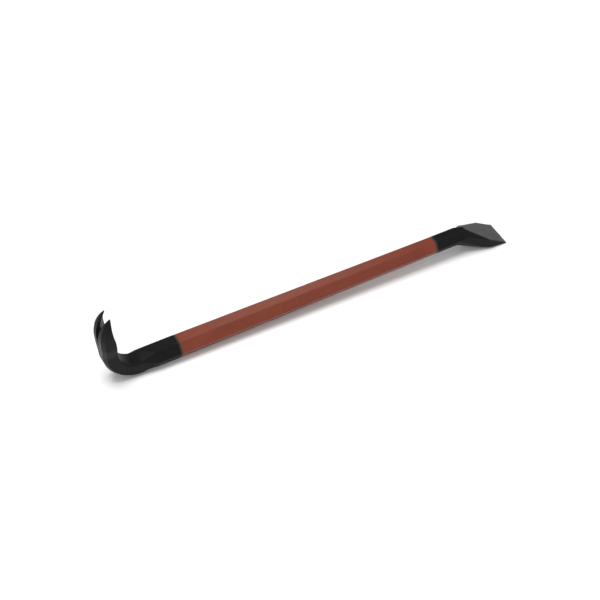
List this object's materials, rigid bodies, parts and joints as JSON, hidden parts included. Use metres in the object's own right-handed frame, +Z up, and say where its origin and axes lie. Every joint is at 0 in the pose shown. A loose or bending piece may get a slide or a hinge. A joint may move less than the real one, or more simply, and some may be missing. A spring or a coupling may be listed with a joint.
{
  "type": "gooseneck wrecking bar",
  "caption": "Gooseneck wrecking bar with a split nail claw, a hexagonal red grip and a bevelled flat pry blade.",
  "frame": {"origin": "on the floor the bar lies on, under the middle of its overall length", "axes": "+X along the bar from the claw end to the blade end, +Y across it, +Z up, the way the hook points"},
  "size_m": [0.4496, 0.031, 0.0863],
  "materials": {
    "forged_steel": "black oxide and lacquer over forged steel, satin, worn at the working edges",
    "tube_steel": "drawn hexagonal tube, hidden under the grip",
    "red_grip": "satin brownish-red grip sleeve",
    "seal_rubber": "dark rubber ring",
    "pin_steel": "plain drive pin, hidden under the grip"
  },
  "bodies": {
    "root": {"claw_head": "forged_steel", "chisel_head": "forged_steel", "shaft_tube": "tube_steel", "grip_sleeve": "red_grip", "claw_end_seal": "seal_rubber", "chisel_end_seal": "seal_rubber", "claw_pin_1": "pin_steel", "claw_pin_2": "pin_steel", "chisel_pin_1": "pin_steel", "chisel_pin_2": "pin_steel"}
  },
  "joints": []
}
